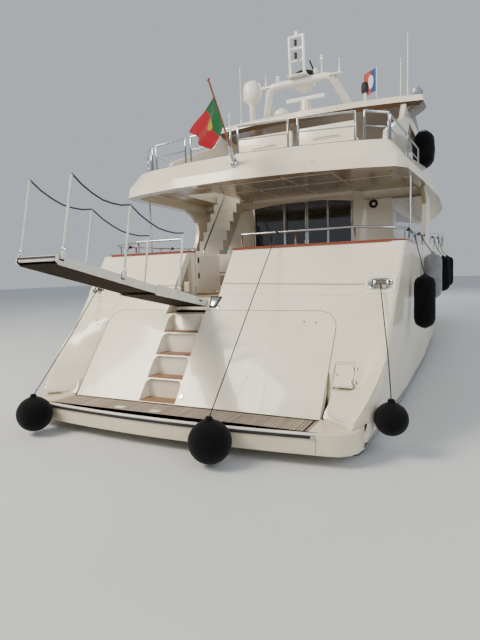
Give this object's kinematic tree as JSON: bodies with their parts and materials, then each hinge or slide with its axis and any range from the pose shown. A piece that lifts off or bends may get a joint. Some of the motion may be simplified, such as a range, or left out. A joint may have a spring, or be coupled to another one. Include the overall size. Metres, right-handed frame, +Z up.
{
  "type": "motor yacht",
  "caption": "Motor yacht afloat: planing hull with garage transom, cockpit, deckhouse, upper deck with hardtop, stern platform and raised passerelle.",
  "frame": {"origin": "on the waterline, on the centreline, amidships, where the water holds the boat", "axes": "+X to starboard, +Y to the bow, +Z up"},
  "size_m": [7.26, 28.5862, 10.38],
  "materials": {
    "gelcoat": "cream gelcoat, glossy",
    "teak": "weathered teak planks",
    "varnished_wood": "varnished teak, glossy",
    "stainless": "polished stainless steel",
    "dark_glass": "near-black tinted glass",
    "fender_cover": "black knitted cover",
    "cushion": "off-white upholstery",
    "bronze": "cast bronze",
    "passerelle_metal": "painted and polished metal",
    "rope": "dark braided rope",
    "flag_cloth": "woven bunting",
    "engine_iron": "grey painted casting"
  },
  "bodies": {
    "hull": {"hull": "gelcoat", "swim_platform": "gelcoat", "platform_teak": "teak", "cockpit_sole": "teak", "deckhouse": "gelcoat", "side_glass_starboard": "dark_glass", "side_glass_port": "dark_glass", "windscreen_glass": "dark_glass", "screen_glass_port": "dark_glass", "screen_glass_starboard": "dark_glass", "upper_deck": "gelcoat", "stairs": "gelcoat", "stair_rail": "stainless", "hardtop": "gelcoat", "fly_coaming": "gelcoat", "fly_windscreen": "dark_glass", "helm_console": "gelcoat", "fly_settee": "cushion", "radar_arch": "gelcoat", "ladder_mast": "gelcoat", "sat_dome": "gelcoat", "bulwark_rail": "stainless", "upper_rail": "stainless", "teak_cap_starboard": "varnished_wood", "teak_cap_port": "varnished_wood", "awning_pole_starboard": "stainless", "awning_pole_port": "stainless", "fender_starboard_1": "fender_cover", "fender_starboard_2": "fender_cover", "fender_starboard_3": "fender_cover", "fender_starboard_4": "fender_cover", "fender_port_1": "fender_cover", "fender_port_2": "fender_cover", "fender_port_3": "fender_cover", "fender_ball_port": "fender_cover", "fender_ball_centre": "fender_cover", "fender_ball_starboard": "fender_cover", "ensign_staff": "varnished_wood", "ensign_flag": "flag_cloth", "liferaft": "fender_cover", "cockpit_sofa": "cushion", "cockpit_table": "teak", "foredeck_sunpad": "cushion", "windlass": "stainless", "anchor": "stainless", "engine_starboard": "engine_iron", "engine_port": "engine_iron"},
    "garage_door": {"garage_door": "gelcoat"},
    "locker_hatch": {"locker_hatch": "gelcoat"},
    "stern_gate": {"stern_gate": "gelcoat"},
    "saloon_door_port": {"saloon_door_port": "dark_glass"},
    "saloon_door_starboard": {"saloon_door_starboard": "dark_glass"},
    "radar_scanner": {"radar_scanner": "gelcoat"},
    "passerelle": {"passerelle": "passerelle_metal", "passerelle_rope_starboard": "rope", "passerelle_rope_port": "rope"},
    "propeller_starboard": {"propeller_starboard": "bronze"},
    "propeller_port": {"propeller_port": "bronze"},
    "rudder_starboard": {"rudder_starboard": "bronze"},
    "rudder_port": {"rudder_port": "bronze"}
  },
  "joints": [
    {"name": "propeller_starboard_spin", "type": "hinge", "parent": "hull", "child": "propeller_starboard", "pos_m": [1.15, -10.6, -1.15], "axis": [0, 0.9848, 0.1736], "continuous": true},
    {"name": "propeller_port_spin", "type": "hinge", "parent": "hull", "child": "propeller_port", "pos_m": [-1.15, -10.6, -1.15], "axis": [0, 0.9848, 0.1736], "continuous": true},
    {"name": "rudder_starboard_turn", "type": "hinge", "parent": "hull", "child": "rudder_starboard", "pos_m": [1.15, -11.75, -1], "axis": [0, 0, 1], "range_deg": [-35, 35]},
    {"name": "rudder_port_turn", "type": "hinge", "parent": "hull", "child": "rudder_port", "pos_m": [-1.15, -11.75, -1], "axis": [0, 0, 1], "range_deg": [-35, 35]},
    {"name": "garage_door_lift", "type": "hinge", "parent": "hull", "child": "garage_door", "pos_m": [0, -11.40484, 1.93], "axis": [-1, 0, 0], "range_deg": [0, 60]},
    {"name": "locker_hatch_swing", "type": "hinge", "parent": "hull", "child": "locker_hatch", "pos_m": [2.69, -12.08747, 1.04], "axis": [0, 0.6086, 0.7935], "range_deg": [0, 110]},
    {"name": "stern_gate_swing", "type": "hinge", "parent": "hull", "child": "stern_gate", "pos_m": [-1.0157, -10.27, 2.5], "axis": [0, 0, -1], "range_deg": [0, 90]},
    {"name": "saloon_door_port_slide", "type": "slide", "parent": "hull", "child": "saloon_door_port", "axis": [-1, 0, 0], "range_m": [0, 0.56]},
    {"name": "saloon_door_starboard_slide", "type": "slide", "parent": "hull", "child": "saloon_door_starboard", "axis": [1, 0, 0], "range_m": [0, 0.56]},
    {"name": "passerelle_lift", "type": "hinge", "parent": "hull", "child": "passerelle", "pos_m": [-0.575, -11.15, 2.01], "axis": [-1, 0, 0], "range_deg": [-27, 15]},
    {"name": "radar_scanner_spin", "type": "hinge", "parent": "hull", "child": "radar_scanner", "pos_m": [-0.25, -5, 7.55], "axis": [0, 0, 1], "continuous": true}
  ],
  "couplings": [
    {"joint": "rudder_port_turn", "follows": "rudder_starboard_turn", "ratio": 1}
  ]
}
